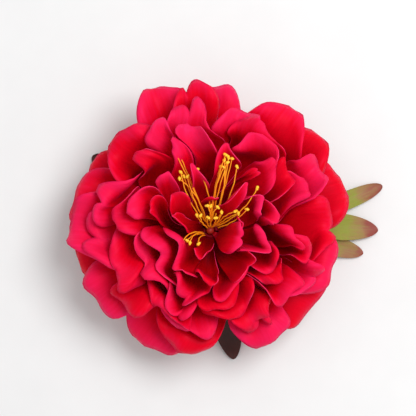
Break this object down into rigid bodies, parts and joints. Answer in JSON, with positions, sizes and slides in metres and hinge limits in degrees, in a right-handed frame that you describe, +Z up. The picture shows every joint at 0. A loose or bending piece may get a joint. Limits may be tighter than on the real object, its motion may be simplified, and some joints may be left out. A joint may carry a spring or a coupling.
{
  "type": "flower hair clip",
  "caption": "Layered silk peony with stamens and leaves on a felt-backed, spring-loaded alligator hair clip.",
  "frame": {"origin": "centre of the part's footprint on the surface it rests on", "axes": "+Z up out of the flower, +X towards the three-lobed right leaf, -Y towards the clip's nose"},
  "size_m": [0.133, 0.1198, 0.0512],
  "materials": {
    "clip_steel": "nickel-plated stamped steel",
    "spring_steel": "drawn spring wire",
    "glue": "set hot-melt glue",
    "felt": "pressed green felt",
    "calyx_plastic": "moulded green plastic",
    "leaf_fabric": "printed polyester, green to reddish brown",
    "petal_fabric": "heat-shaped red polyester satin",
    "spacer_plastic": "red plastic tube",
    "stamen_plastic": "moulded orange plastic with yellow anthers"
  },
  "bodies": {
    "flower": {"clip_upper_jaw": "clip_steel", "hinge_pin": "clip_steel", "clip_spring": "spring_steel", "clip_glue_pad": "glue", "felt_backing": "felt", "flower_glue_pad": "glue", "calyx_cup": "calyx_plastic", "leaf_right": "leaf_fabric", "leaf_bottom": "leaf_fabric", "leaf_upper_left": "leaf_fabric", "petal_layer_1": "petal_fabric", "petal_layer_2": "petal_fabric", "petal_layer_3": "petal_fabric", "petal_spacer_lower": "spacer_plastic", "petal_layer_4": "petal_fabric", "petal_layer_5": "petal_fabric", "petal_layer_6": "petal_fabric", "petal_spacer_upper": "spacer_plastic", "petal_layer_7": "petal_fabric", "petal_layer_8": "petal_fabric", "stamen_spray": "stamen_plastic", "petal_layer_9": "petal_fabric", "stamen_tuft": "stamen_plastic"},
    "lower_jaw": {"clip_lower_jaw": "clip_steel"}
  },
  "joints": [
    {"name": "jaw_open", "type": "hinge", "parent": "flower", "child": "lower_jaw", "pos_m": [-0.006, 0.0073, 0.0094], "axis": [1, 0, 0], "range_deg": [0, 36], "stiffness_Nm_per_rad": 0.03, "springref_deg": -51.57, "deforming": ["clip_spring"]}
  ]
}
